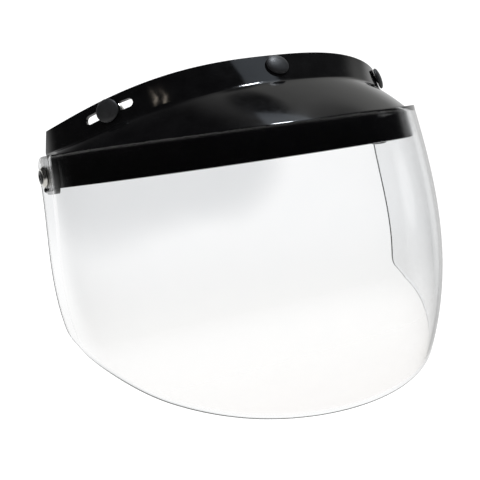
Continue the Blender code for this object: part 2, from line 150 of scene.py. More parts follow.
@lru_cache(maxsize=None)
def lens_plan(path):
    """Plan point and outward normal of the lens's outer top edge, at a distance from the centre."""
    side = math.copysign(1.0, path)
    run = min(abs(path), LENS_ARC)
    steps = 80
    point = Vector((0.0, LENS_FRONT_Y))
    for step in range(steps):
        heading = lens_heading((step + 0.5) / steps * run / LENS_ARC)
        point += Vector((math.cos(heading), math.sin(heading))) * run / steps
    heading = lens_heading(run / LENS_ARC)
    beyond = abs(path) - LENS_ARC
    if beyond >= 0.0:
        heading = (heading + math.pi / 2) / 2 if beyond < 1e-6 else math.pi / 2
        point.y += beyond
    return Vector((side * point.x, point.y)), Vector((side * math.sin(heading), -math.cos(heading)))


def cubic(coefficients, value):
    return sum(factor * value ** (power + 1) for power, factor in enumerate(coefficients))


def lens_bulge(path, drop):
    side = cubic(SIDE_BULGE, max(0.0, drop - SIDE_BULGE_START))
    frontness = 1.0 - min(abs(path) / LENS_ARC, 1.0) ** FRONT_BULGE_POWER
    return side + frontness * (cubic(FRONT_BULGE, max(0.0, drop)) - side)


def lens_surface(path, z, inset=0.0):
    """Point at a depth inside the lens's outer face."""
    point, normal = lens_plan(round(path, 4))
    outward = lens_bulge(path, -z) - inset
    return Vector((point.x + normal.x * outward, point.y + normal.y * outward, z))


def lower_edge(fraction):
    """Drop of the lens's lower edge, by cubic interpolation through its named points."""
    knots = [(-f, d) for f, d in reversed(LENS_LOWER_EDGE[1:])] + list(LENS_LOWER_EDGE)
    index = max(i for i in range(len(knots) - 1) if knots[i][0] <= fraction or i == 0)
    (f0, d0), (f1, d1) = knots[index], knots[index + 1]

    def slope(i):
        low, high = max(i - 1, 0), min(i + 1, len(knots) - 1)
        return (knots[high][1] - knots[low][1]) / (knots[high][0] - knots[low][0])

    t = (fraction - f0) / (f1 - f0)
    width = f1 - f0
    return (d0 * (1 + 2 * t) * (1 - t) ** 2 + slope(index) * width * t * (1 - t) ** 2
            + d1 * t * t * (3 - 2 * t) + slope(index + 1) * width * t * t * (t - 1))


def top_edge(path):
    """Height of the lens's top edge and of the frame's crease, which climb from the middle to the ears."""
    return TOP_RISE * (0.5 - 0.5 * math.cos(math.pi * min(abs(path) / LENS_ARC, 1.0)))


def corner_rise(distance, radius):
    """Height that a rounded corner takes off an edge, at a distance into the corner."""
    reach = min(max(distance, 0.0), radius)
    return radius - math.sqrt(max(radius * radius - reach * reach, 0.0))


PIVOT_PATH = LENS_ARC + LENS_STRIP - PIVOT_EDGE_DISTANCE
PIVOT_Z = -PIVOT_EDGE_DISTANCE
PIVOT_X = lens_plan(PIVOT_PATH)[0].x
PIVOT_Y = lens_plan(PIVOT_PATH)[0].y


def band_foot(s):
    """Point where the band rises from the peak, and the band's outward plan normal, at -1 to 1."""
    angle = s * BAND_SWEEP
    point = Vector((BAND_RADIUS * math.sin(angle),
                    BAND_FRONT_Y + BAND_RADIUS * BAND_FLATTEN * (1 - math.cos(angle)),
                    BAND_FOOT_END + (BAND_FOOT_CENTRE - BAND_FOOT_END)
                    * (0.5 + 0.5 * math.cos(math.pi * abs(s) ** BAND_FOOT_POWER))))
    normal = Vector((BAND_FLATTEN * math.sin(angle), -math.cos(angle), 0.0)).normalized()
    return point, normal


def band_point(s, rise):
    """Point on the band's outer face, at a fraction of its width above its foot."""
    foot, normal = band_foot(s * (1 - BAND_END_LEAN * rise))
    lean = BAND_LEAN[0] + (BAND_LEAN[1] - BAND_LEAN[0]) * (0.5 - 0.5 * math.cos(math.pi * s))
    width = BAND_WIDTH[0] + (BAND_WIDTH[1] - BAND_WIDTH[0]) * s * s
    up = Vector((0.0, 0.0, 1.0)) * math.cos(lean) - normal * math.sin(lean)
    return foot + up * width * rise


def snap_frame(s, rise):
    """Matrix at a snap: local Z outward, local X along the band."""
    centre = band_point(s, rise)
    step = 0.03
    before, after = band_point(s - step, rise), band_point(s + step, rise)
    along = (after - before).normalized()
    up = (band_point(s, rise + 0.1) - centre).normalized()
    outward = along.cross(up).normalized()
    matrix = Matrix((along, outward.cross(along), outward)).transposed().to_4x4()
    matrix.translation = centre
    return matrix


CENTRE_FRAME = snap_frame(*CENTRE_SNAP)
DATUM = CENTRE_FRAME @ Vector((0.0, 0.0, -WALL - RUN - SOCKET_DEPTH))


def place(matrix):
    """World matrix in metres, from a drawing matrix in millimetres."""
    world = matrix.copy()
    world.translation = (matrix.translation - DATUM) * MM
    return world


def world_point(point):
    return (point - DATUM) * MM


# ---------------------------------------------------------------- mesh helpers

def mesh_object(name, mesh, matrix=None):
    item = bpy.data.objects.new(name, mesh)
    bpy.context.scene.collection.objects.link(item)
    item.matrix_world = matrix if matrix else Matrix()
    return item


def modifier(item, kind, **settings):
    result = item.modifiers.new(kind.title(), kind)
    for key, value in settings.items():
        setattr(result, key, value)
    return result


def rounded(item, width, angle=35.0, segments=2):
    modifier(item, "BEVEL", width=width * MM, segments=segments, limit_method="ANGLE",
             angle_limit=math.radians(angle), miter_outer="MITER_ARC", harden_normals=False)


def settle(item, in_world=False):
    """Replace an object's data by its evaluated mesh, welded and facing out."""
    bpy.context.view_layer.update()
    evaluated = item.evaluated_get(bpy.context.evaluated_depsgraph_get())
    mesh = bpy.data.meshes.new_from_object(evaluated)
    if in_world:
        mesh.transform(item.matrix_world)
    shape = bmesh.new()
    shape.from_mesh(mesh)
    bmesh.ops.remove_doubles(shape, verts=shape.verts, dist=1e-6)
    bmesh.ops.recalc_face_normals(shape, faces=shape.faces)
    shape.to_mesh(mesh)
    shape.free()
    if item.type == "CURVE":
        settled = mesh_object(item.name + "_mesh", mesh, item.matrix_world.copy())
        name = item.name
        bpy.data.objects.remove(item, do_unlink=True)
        settled.name = name
        item = settled
    else:
        item.modifiers.clear()
        item.data = mesh
    if in_world:
        item.matrix_world = Matrix()
    return item


def finish(item, looks, body, nodes, crease=30.0):
    """Settle a piece, shade it, give it its materials and stand it in for its CAD nodes."""
    item = settle(item, in_world=True)
    item.data.materials.clear()
    for look in looks:
        item.data.materials.append(look)
    item.data.shade_smooth()
    item.data.set_sharp_from_angle(angle=math.radians(crease))
    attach(item, body)
    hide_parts(*nodes)
    return item


def mapped_grid(name, columns, rows, surface):
    """A grid whose column and row numbers are carried to points of a surface."""
    shape = bmesh.new()
    points = [[shape.verts.new(world_point(surface(column, row))) for column in range(columns + 1)]
              for row in range(rows + 1)]
    for row in range(rows):
        for column in range(columns):
            shape.faces.new((points[row][column], points[row][column + 1],
                             points[row + 1][column + 1], points[row + 1][column]))
    mesh = bpy.data.meshes.new(name)
    shape.to_mesh(mesh)
    shape.free()
    return mesh_object(name, mesh)


def turned(name, profile, matrix, closed=False, steps=TURN_STEPS):
    """A turned piece: a profile of (radius, height) in millimetres."""
    shape = bmesh.new()
    points = [shape.verts.new((radius * MM, 0.0, height * MM)) for radius, height in profile]
    for first, second in zip(points, points[1:]):
        shape.edges.new((first, second))
    if closed:
        shape.edges.new((points[-1], points[0]))
    mesh = bpy.data.meshes.new(name)
    shape.to_mesh(mesh)
    shape.free()
    item = mesh_object(name, mesh, place(matrix))
    modifier(item, "SCREW", axis="Z", steps=steps, render_steps=steps, use_merge_vertices=True,
             merge_threshold=1e-6, use_normal_calculate=True)
    return settle(item)


def outline_solid(name, points, thickness, matrix):
    """A flat outline given a thickness, centred on its own plane."""
    curve = bpy.data.curves.new(name, "CURVE")
    curve.dimensions = "2D"
    curve.fill_mode = "BOTH"
    curve.extrude = thickness / 2 * MM
    spline = curve.splines.new("POLY")
    spline.points.add(len(points) - 1)
    for point, (x, y) in zip(spline.points, points):
        point.co = (x * MM, y * MM, 0.0, 1.0)
    spline.use_cyclic_u = True
    return settle(mesh_object(name, curve, place(matrix)))


def cylinder(name, radius, length, matrix, sides=48):
    shape = bmesh.new()
    bmesh.ops.create_cone(shape, cap_ends=True, segments=sides, radius1=radius * MM,
                          radius2=radius * MM, depth=length * MM)
    mesh = bpy.data.meshes.new(name)
    shape.to_mesh(mesh)
    shape.free()
    return mesh_object(name, mesh, place(matrix))


def combine(item, tools, operation):
    """Apply booleans and remove their tools."""
    for tool in tools:
        modifier(item, "BOOLEAN", object=tool, operation=operation, solver="EXACT")
    item = settle(item)
    for tool in tools:
        bpy.data.objects.remove(tool, do_unlink=True)
    return item


def side_frame(side, centre):
    """Matrix with local Z outward along the pivot line, local X forward and local Y up or down."""
    outward = Vector((side, 0.0, 0.0))
    forward = Vector((0.0, -1.0, 0.0))
    matrix = Matrix((forward, outward.cross(forward), outward)).transposed().to_4x4()
    matrix.translation = centre
    return matrix


def pivot_frame(side):
    return side_frame(side, Vector((side * PIVOT_X, PIVOT_Y, PIVOT_Z)))


def stop_frame(side):
    return side_frame(side, Vector((side * PIVOT_X, PIVOT_Y, PIVOT_Z - STOP_RADIUS)))


def stadium(length, width, steps=16):
    """Outline of a slot with round ends."""
    radius = width / 2
    reach = length / 2 - radius
    points = []
    for end in (1, -1):
        for step in range(steps + 1):
            angle = math.pi * (step / steps - 0.5)
            points.append((end * (reach + radius * math.cos(angle)), end * radius * math.sin(angle)))
    return points


def arc_slot(radius, half_width, start, stop, steps=24):
    """Outline of a curved slot round a centre, with round ends, between two angles."""
    middle = [start + (stop - start) * step / steps for step in range(steps + 1)]
    points = [((radius + half_width) * math.cos(a), (radius + half_width) * math.sin(a)) for a in middle]
    for centre_angle, turn in ((stop, 0.0), (start, math.pi)):
        centre = Vector((math.cos(centre_angle), math.sin(centre_angle))) * radius
        for step in range(1, 10):
            angle = centre_angle + turn + math.pi * step / 10
            points.append(tuple(centre + Vector((math.cos(angle), math.sin(angle))) * half_width))
        if turn == 0.0:
            points += [((radius - half_width) * math.cos(a), (radius - half_width) * math.sin(a))
                       for a in reversed(middle)]
    return points


# ---------------------------------------------------------------- materials

def look(name, **values):
    """A Principled material: its constant inputs are set on the shader itself."""
    result = bpy.data.materials.new(name)
    result.use_nodes = True
    shader = result.node_tree.nodes["Principled BSDF"]
    for key, value in values.items():
        socket = shader.inputs[key.replace("_", " ")]
        socket.default_value = (*value, 1.0) if isinstance(value, tuple) and len(value) == 3 else value
    return result, result.node_tree, shader


def node(tree, kind, inputs=None, **settings):
    result = tree.nodes.new("ShaderNode" + kind)
    for key, value in settings.items():
        setattr(result, key, value)
    for key, value in (inputs or {}).items():
        if isinstance(value, bpy.types.NodeSocket):
            tree.links.new(value, result.inputs[key])
        else:
            result.inputs[key].default_value = value
    return result


def place_coords(tree, scale=(1.0, 1.0, 1.0), turn=(0.0, 0.0, 0.0)):
    coords = node(tree, "TexCoord")
    return node(tree, "Mapping", {"Vector": coords.outputs["Object"], "Scale": scale,
                                  "Rotation": turn}).outputs["Vector"]


def noise(tree, vector, scale, detail=3.0, rough=0.55):
    return node(tree, "TexNoise", {"Vector": vector, "Scale": scale, "Detail": detail,
                                   "Roughness": rough}).outputs["Fac"]


def spread(tree, value, low, high, to_low, to_high):
    return node(tree, "MapRange", {"Value": value, "From Min": low, "From Max": high,
                                   "To Min": to_low, "To Max": to_high}).outputs["Result"]


def arithmetic(tree, operation, first, second):
    return node(tree, "Math", {0: first, 1: second}, operation=operation).outputs["Value"]


def tint(tree, value, low, high, first, second):
    ramp = node(tree, "ValToRGB", {"Fac": value})
    ramp.color_ramp.elements[0].position = low
    ramp.color_ramp.elements[0].color = (*first, 1.0)
    ramp.color_ramp.elements[1].position = high
    ramp.color_ramp.elements[1].color = (*second, 1.0)
    return ramp.outputs["Color"]


def bump(tree, shader, height, distance, strength=1.0):
    result = node(tree, "Bump", {"Height": height, "Distance": distance, "Strength": strength})
    tree.links.new(result.outputs["Normal"], shader.inputs["Normal"])


def scratches(tree, scale, stretch, turn, threshold):
    """Thin straight marks: a noise stretched along one direction, cut to its highest values."""
    vector = place_coords(tree, stretch, turn)
    return spread(tree, noise(tree, vector, scale, 2.0), threshold, threshold + 0.08, 0.0, 1.0)


def gloss_black():
    material, tree, shader = look("gloss_black_plastic", IOR=1.5)
    plain = place_coords(tree)
    wave = noise(tree, plain, 34.0, 2.0)
    smudge = noise(tree, plain, 75.0, 5.0, 0.65)
    marks = scratches(tree, 420.0, (1.0, 14.0, 14.0), (0.2, 0.5, 0.9), 0.70)
    tree.links.new(tint(tree, smudge, 0.35, 0.7, (0.002, 0.002, 0.0022), (0.004, 0.004, 0.0044)),
                   shader.inputs["Base Color"])
    rough = arithmetic(tree, "ADD", spread(tree, smudge, 0.35, 0.75, 0.055, 0.15),
                       arithmetic(tree, "MULTIPLY", marks, 0.12))
    tree.links.new(rough, shader.inputs["Roughness"])
    height = arithmetic(tree, "ADD", wave, arithmetic(tree, "MULTIPLY", marks, -0.02))
    bump(tree, shader, height, 0.00008)
    return material


def clear_sheet():
    material, tree, shader = look("clear_polycarbonate", IOR=1.5, Transmission_Weight=1.0)
    plain = place_coords(tree)
    haze = noise(tree, plain, 60.0, 5.0, 0.65)
    marks = scratches(tree, 300.0, (1.0, 20.0, 20.0), (0.1, 0.9, 0.4), 0.72)
    tree.links.new(tint(tree, haze, 0.3, 0.75, (0.955, 0.960, 0.965), (0.940, 0.948, 0.955)),
                   shader.inputs["Base Color"])
    rough = arithmetic(tree, "ADD", spread(tree, haze, 0.4, 0.8, 0.004, 0.03),
                       arithmetic(tree, "MULTIPLY", marks, 0.06))
    tree.links.new(rough, shader.inputs["Roughness"])
    return material


def rim_with_painted_shade():
    material, tree, shader = look("polycarbonate_rim_painted_shade", IOR=1.5, Transmission_Weight=0.9)
    fine = noise(tree, place_coords(tree), 900.0, 4.0)
    # painted shade: the rim's grey colour darkens the lens's cut edges into a thin dark line, and the noise
    # varies that grey at random
    tree.links.new(tint(tree, fine, 0.3, 0.7, (0.50, 0.505, 0.51), (0.64, 0.645, 0.65)),
                   shader.inputs["Base Color"])
    tree.links.new(spread(tree, fine, 0.3, 0.7, 0.06, 0.14), shader.inputs["Roughness"])
    return material


def satin_enamel():
    material, tree, shader = look("satin_dark_enamel", IOR=1.5, Coat_Weight=0.15, Coat_Roughness=0.3)
    plain = place_coords(tree)
    grain = noise(tree, plain, 2600.0, 3.0)
    cloud = noise(tree, plain, 260.0, 4.0)
    tree.links.new(tint(tree, cloud, 0.3, 0.72, (0.026, 0.027, 0.029), (0.046, 0.048, 0.052)),
                   shader.inputs["Base Color"])
    tree.links.new(spread(tree, grain, 0.3, 0.7, 0.42, 0.54), shader.inputs["Roughness"])
    bump(tree, shader, grain, 0.00003, 0.6)
    return material


def metal(name, colour, worn, rough, grain_scale, metallic=1.0):
    material, tree, shader = look(name, Metallic=metallic)
    plain = place_coords(tree)
    grain = noise(tree, plain, grain_scale, 4.0, 0.7)
    marks = scratches(tree, 900.0, (1.0, 12.0, 12.0), (0.7, 0.3, 0.2), 0.66)
    tree.links.new(tint(tree, grain, 0.3, 0.75, colour, worn), shader.inputs["Base Color"])
    tree.links.new(arithmetic(tree, "ADD", spread(tree, grain, 0.3, 0.75, rough[0], rough[1]),
                              arithmetic(tree, "MULTIPLY", marks, 0.12)), shader.inputs["Roughness"])
    bump(tree, shader, arithmetic(tree, "ADD", grain, marks), 0.00001, 0.5)
    return material


def moulded(name, colour, second, rough):
    material, tree, shader = look(name, IOR=1.48)
    plain = place_coords(tree)
    grain = noise(tree, plain, 1800.0, 3.0)
    cloud = noise(tree, plain, 200.0, 3.0)
    tree.links.new(tint(tree, cloud, 0.3, 0.7, colour, second), shader.inputs["Base Color"])
    tree.links.new(spread(tree, grain, 0.3, 0.7, rough[0], rough[1]), shader.inputs["Roughness"])
    bump(tree, shader, grain, 0.00002, 0.6)
    return material


LOOKS = {
    "frame": gloss_black(),
    "lens": clear_sheet(),
    "rim": rim_with_painted_shade(),
    "cap": satin_enamel(),
    "nickel": metal("nickel_plate", (0.70, 0.69, 0.66), (0.60, 0.585, 0.55), (0.14, 0.3), 700.0),
    "black_steel": metal("blackened_steel", (0.018, 0.018, 0.020), (0.06, 0.06, 0.062), (0.28, 0.45),
                         900.0, 0.7),
    "nylon": moulded("natural_nylon", (0.72, 0.72, 0.69), (0.66, 0.66, 0.62), (0.4, 0.55)),
    "slider": moulded("black_acetal", (0.022, 0.022, 0.023), (0.034, 0.034, 0.036), (0.3, 0.45)),
    "spring": metal("spring_wire", (0.55, 0.55, 0.56), (0.42, 0.42, 0.43), (0.2, 0.35), 1200.0),
}


# ---------------------------------------------------------------- the pieces

def build_lens():
    arc = [LENS_ARC * step / ARC_COLUMNS for step in range(ARC_COLUMNS + 1)]
    flat = [LENS_ARC + (PIVOT_PATH - LENS_ARC) * step / 6 for step in range(1, 7)]
    corner = [PIVOT_PATH + PIVOT_EDGE_DISTANCE * math.sin(math.pi / 2 * step / 14) for step in range(1, 15)]
    half = arc + flat + corner
    columns = [-path for path in reversed(half[1:])] + half
    rear = LENS_ARC + LENS_STRIP

    def surface(column, row):
        path = columns[column]
        reach = abs(path)
        top = top_edge(path) - corner_rise(reach - PIVOT_PATH, PIVOT_EDGE_DISTANCE)
        low = -lower_edge(reach / rear) + corner_rise(reach - rear + LENS_LOWER_CORNER, LENS_LOWER_CORNER)
        z = low + (top - low) * row / LENS_ROWS
        if reach > LENS_ARC:
            lean = 1.0 + REAR_EDGE_LEAN * z / LENS_STRIP
            path = math.copysign(LENS_ARC + (reach - LENS_ARC) * lean, path)
        return lens_surface(path, z)

    lens = mapped_grid("lens_sheet", len(columns) - 1, LENS_ROWS, surface)
    # the second material goes on the sheet's cut edges and carries painted shade, a grey tint that darkens
    # them
    for key in ("lens", "rim"):
        lens.data.materials.append(LOOKS[key])
    modifier(lens, "SOLIDIFY", thickness=LENS_THICKNESS * MM, offset=-1.0, use_even_offset=True,
             material_offset_rim=1)
    holes = []
    for name, side in SIDES.items():
        holes.append(cylinder(f"{name}_lens_pivot_hole", PIVOT_HOLE, LENS_CUT, pivot_frame(side)))
        holes.append(cylinder(f"{name}_lens_stop_hole", STOP_HOLE, LENS_CUT, stop_frame(side)))
    lens = combine(lens, holes, "DIFFERENCE")
    rounded(lens, 0.3, 50.0)
    return finish(lens, [LOOKS["lens"], LOOKS["rim"]], "lens", ["clear_lens"], 40.0)


def fillet(corner, toward_start, toward_end, steps=6):
    """Points that round a corner of a section, from one neighbour's side to the other's."""
    reach = min(CREASE_FILLET, 0.4 * (toward_start - corner).length, 0.4 * (toward_end - corner).length)
    first = corner + (toward_start - corner).normalized() * reach
    last = corner + (toward_end - corner).normalized() * reach
    return [first * (1 - t) ** 2 + corner * 2 * t * (1 - t) + last * t * t
            for t in [step / steps for step in range(steps + 1)]]


def frame_section(s):
    """Section of the brow frame from the skirt's lower edge to the band's top, at -1 to 1."""
    path = s * (LENS_ARC + FRAME_STRIP)
    lower = lens_surface(path, -SKIRT_HEIGHT, SKIRT_GAP)
    crease = lens_surface(path, top_edge(path), SKIRT_GAP)
    foot = band_point(s, 0.0)
    top = band_point(s, 1.0)
    crown = Vector((0.0, 0.0, PEAK_CROWN * (1 - s * s)))
    outer, inner = fillet(crease, lower, foot), fillet(foot, crease, top)
    section = [lens_surface(path, -SKIRT_HEIGHT * f, SKIRT_GAP) for f in (1.0, 0.8, 0.6, 0.4)] + outer
    section += [outer[-1].lerp(inner[0], f / 12) + crown * 4 * (f / 12) * (1 - f / 12) for f in range(1, 12)]
    section += inner
    section += [foot.lerp(top, f) for f in (0.35, 0.5, 0.65, 0.8, 0.9, 1.0)]
    return section


def build_ear(name, side):
    """Raised pad that carries a pivot, laid on the end of the frame."""
    front, rear = LENS_ARC + EAR_FRONT, LENS_ARC + EAR_REAR
    front_corner, rear_corner = EAR_CORNERS
    ahead = [front + front_corner * (1 - math.cos(math.pi / 2 * step / 6)) for step in range(7)]
    behind = [rear - rear_corner * (1 - math.sin(math.pi / 2 * step / 10)) for step in range(11)]
    columns = ahead + [(front + PIVOT_PATH) / 2, PIVOT_PATH] + behind
    if side < 0:
        columns = [-path for path in reversed(columns)]
    rows = 8

    def surface(column, row):
        reach = abs(columns[column])
        top_radius = rear - PIVOT_PATH
        top = top_edge(reach) - corner_rise(reach - PIVOT_PATH, top_radius) * PIVOT_EDGE_DISTANCE / top_radius
        low = -EAR_DROP + corner_rise(front + front_corner - reach, front_corner)
        low += corner_rise(reach - rear + rear_corner, rear_corner)
        return lens_surface(columns[column], low + (top - low) * row / rows, EAR_GAP)

    pad = mapped_grid(f"{name}_ear", len(columns) - 1, rows, surface)
    modifier(pad, "SOLIDIFY", thickness=EAR_THICKNESS * MM, offset=-1.0, use_even_offset=True)
    rounded(pad, 0.3, 50.0)
    return settle(pad)


def build_frame():
    bend = LENS_ARC / (LENS_ARC + FRAME_STRIP)
    half = [bend * step / ARC_COLUMNS for step in range(ARC_COLUMNS + 1)]
    half += [bend + (1 - bend) * step / 8 for step in range(1, 9)]
    columns = [-s for s in reversed(half[1:])] + half
    sections = [frame_section(s) for s in columns]
    shell = mapped_grid("frame_shell", len(columns) - 1, len(sections[0]) - 1,
                        lambda column, row: sections[column][row])
    modifier(shell, "SOLIDIFY", thickness=WALL * MM, offset=-1.0, use_even_offset=True)
    rounded(shell, 0.2, 60.0, 3)
    shell = settle(shell)
    shell = combine(shell, [build_ear(name, side) for name, side in SIDES.items()], "UNION")
    cuts = [cylinder("centre_snap_hole", CENTRE_HOLE, BAND_CUT, CENTRE_FRAME)]
    for name, side in SIDES.items():
        snap = snap_frame(side * SIDE_SNAP[0], SIDE_SNAP[1])
        cuts.append(outline_solid(f"{name}_slot", stadium(SLOT_LENGTH, SLOT_WIDTH), BAND_CUT, snap))
        cuts.append(cylinder(f"{name}_frame_pivot_hole", PIVOT_HOLE, PIVOT_CUT, pivot_frame(side)))
        slack = RUN / STOP_RADIUS
        angles = [-math.pi / 2 - slack, -math.pi / 2 + math.radians(FLIP_RANGE) + slack]
        outline = arc_slot(STOP_RADIUS, STOP_HOLE, *angles)
        if side > 0:
            outline = [(x, -y) for x, y in reversed(outline)]
        cuts.append(outline_solid(f"{name}_stop_slot", outline, PIVOT_CUT, pivot_frame(side)))
    shell = combine(shell, cuts, "DIFFERENCE")
    return finish(shell, [LOOKS["frame"]], "frame", ["brow_frame"], 40.0)


def lathe(name, profile, matrix, key, body, node_name, closed=False, width=0.12, cuts=()):
    item = turned(name, profile, matrix, closed)
    if cuts:
        item = combine(item, list(cuts), "DIFFERENCE")
    rounded(item, width, 25.0)
    return finish(item, [LOOKS[key]], body, [node_name], 45.0)


def build_pivot(name, side):
    frame_at = pivot_frame(side)
    inner_face = -SKIRT_GAP - WALL
    washer = [(WASHER_BORE, 0.9), (4.2, 2.2), (4.7, 2.2), (6.2, 0.7), (6.2, RUN), (WASHER_BORE, RUN)]
    lathe(f"{name}_cup_washer", washer, frame_at, "nickel", "frame",
          f"{name}_pivot_cup_washer", closed=True, width=0.15)
    screw = [(0.0, 3.0), (1.6, 2.9), (3.1, 2.6), (3.9, 2.35), (STEM_RADIUS, 1.15),
             (STEM_RADIUS, inner_face - SCREW_END), (0.0, inner_face - SCREW_END)]
    recess = stadium(RECESS_LENGTH, RECESS_WIDTH, steps=6)
    recess_at = frame_at @ Matrix.Translation((0, 0, RECESS_HEIGHT))
    cuts = [outline_solid(f"{name}_recess_{number}", recess, RECESS_DEPTH,
                          recess_at @ Matrix.Rotation(math.radians(turn), 4, "Z"))
            for number, turn in enumerate((45, 135))]
    lathe(f"{name}_screw", screw, frame_at, "black_steel", "frame",
          f"{name}_pivot_screw", width=0.08, cuts=cuts)
    middle = -LENS_THICKNESS - RUN
    friction = [(PIVOT_HOLE, middle), (FRICTION_RADIUS, middle), (FRICTION_RADIUS, RUN - EAR_GAP),
                (PIVOT_HOLE, RUN - EAR_GAP)]
    lathe(f"{name}_friction_ring", friction, frame_at, "nylon", "frame",
          f"{name}_friction_washer", closed=True)
    bore = STEM_RADIUS + THREAD_SLACK
    barrel = PIVOT_HOLE - RUN
    nut_face = inner_face - RUN
    sleeve = [(bore, -0.1), (barrel, -0.1), (barrel, nut_face), (NUT_RADIUS, nut_face),
              (NUT_RADIUS, nut_face - NUT_HEIGHT + NUT_CHAMFER),
              (NUT_RADIUS - NUT_CHAMFER, nut_face - NUT_HEIGHT),
              (bore, nut_face - NUT_HEIGHT)]
    lathe(f"{name}_sleeve", sleeve, frame_at, "nickel", "frame", f"{name}_sleeve_nut", closed=True)
    pin = STOP_HOLE - RUN
    rivet = [(0.0, 1.5), (0.8, 1.35), (RIVET_RADIUS, 0.9), (RIVET_RADIUS, RUN), (pin, RUN),
             (pin, -EAR_GAP - RIVET_TAIL), (0.0, -EAR_GAP - RIVET_TAIL)]
    lathe(f"{name}_rivet", rivet, stop_frame(side), "black_steel", "lens",
          f"{name}_stop_rivet", width=0.1)


def spring_ring(name, height, matrix, body, node_name):
    """Split wire ring that grips the stud inside a snap socket."""
    curve = bpy.data.curves.new(name, "CURVE")
    curve.dimensions = "3D"
    curve.bevel_depth = SPRING_WIRE * MM
    curve.bevel_resolution = 3
    curve.use_fill_caps = True
    spline = curve.splines.new("POLY")
    radius = (SOCKET_BORE + SPRING_OFFSET) * MM
    spline.points.add(SPRING_POINTS - 1)
    for step, point in enumerate(spline.points):
        angle = math.radians(SPRING_START + SPRING_SWEEP * step / (SPRING_POINTS - 1))
        point.co = (radius * math.cos(angle), radius * math.sin(angle), height * MM, 1.0)
    finish(mesh_object(name, curve, place(matrix)), [LOOKS["spring"]], body, [node_name], 50.0)


def build_snap(name, matrix, gap, front, body):
    rear = front - SOCKET_DEPTH
    floor = front - SOCKET_FLOOR
    fall = DOME_RISE / (1 - math.cos(math.radians(DOME_ANGLE)))
    dome = [(CAP_RADIUS * math.sin(math.radians(a)), CAP_HEIGHT - fall * (1 - math.cos(math.radians(a))))
            for a in range(0, DOME_ANGLE + 1, DOME_STEP)]
    clench = floor - RUN
    cap = dome + [(CAP_RADIUS, gap + 0.6), (CAP_RADIUS - 0.4, gap), (STEM_RADIUS, gap),
                  (STEM_RADIUS, clench), (CLENCH_RADIUS, clench),
                  (CLENCH_RADIUS, clench - CLENCH_THICKNESS), (0.0, clench - CLENCH_THICKNESS)]
    lathe(f"{name}_cap", cap, matrix, "cap", body, f"{name}_snap_cap", width=0.2)
    hole = STEM_RADIUS + RUN
    groove = SOCKET_BORE + GROOVE_DEPTH
    socket = [(hole, front), (SOCKET_RADIUS - 0.6, front), (SOCKET_RADIUS, front - 0.6),
              (SOCKET_RADIUS, rear + 0.5), (SOCKET_RADIUS - 0.5, rear), (SOCKET_BORE, rear),
              (SOCKET_BORE, rear + GROOVE_START), (groove, rear + GROOVE_START),
              (groove, rear + GROOVE_END), (SOCKET_BORE, rear + GROOVE_END), (SOCKET_BORE, floor),
              (hole, floor)]
    lathe(f"{name}_socket", socket, matrix, "nickel", body, f"{name}_snap_socket", closed=True)
    spring_ring(f"{name}_spring", rear + SPRING_HEIGHT, matrix, body, f"{name}_snap_spring")


def build_slider(name, matrix):
    face = -WALL - SLIDE_CLEARANCE
    back = face - SLIDER_PLATE
    bore = STEM_RADIUS + RUN
    body = SLOT_WIDTH / 2 - RUN
    plate = SOCKET_RADIUS - 0.2
    bush = [(bore, -0.1), (body, -0.1), (body, face), (plate, face), (plate, back), (bore, back)]
    lathe(f"{name}_slider", bush, matrix, "slider", f"{name}_snap", f"{name}_snap_slider",
          closed=True)
    return back


build_frame()
build_lens()
for side_name, side_sign in SIDES.items():
    build_pivot(side_name, side_sign)
build_snap("centre", CENTRE_FRAME, RUN, -WALL - RUN, "frame")
for side_name, side_sign in SIDES.items():
    snap_at = snap_frame(side_sign * SIDE_SNAP[0], SIDE_SNAP[1])
    slider_back = build_slider(side_name, snap_at)
    build_snap(side_name, snap_at, SLIDE_CLEARANCE, slider_back - RUN, f"{side_name}_snap")


# ---------------------------------------------------------------- studio

def direction_value(tree, centre, inner, outer):
    """1 near a direction of the sky, falling to 0 away from it, by the cosine of the angle."""
    geometry = node(tree, "TexCoord")
    dot = node(tree, "VectorMath", {0: geometry.outputs["Generated"], 1: Vector(centre).normalized()},
               operation="DOT_PRODUCT").outputs["Value"]
    return node(tree, "MapRange", {"Value": dot, "From Min": math.cos(math.radians(outer)),
                                   "From Max": math.cos(math.radians(inner))},
                interpolation_type="SMOOTHERSTEP").outputs["Result"]


def sky_layer(tree, below, colour, weight):
    return node(tree, "Mix", {"Factor": weight, 6: below, 7: (*colour, 1.0)}, data_type="RGBA").outputs[2]


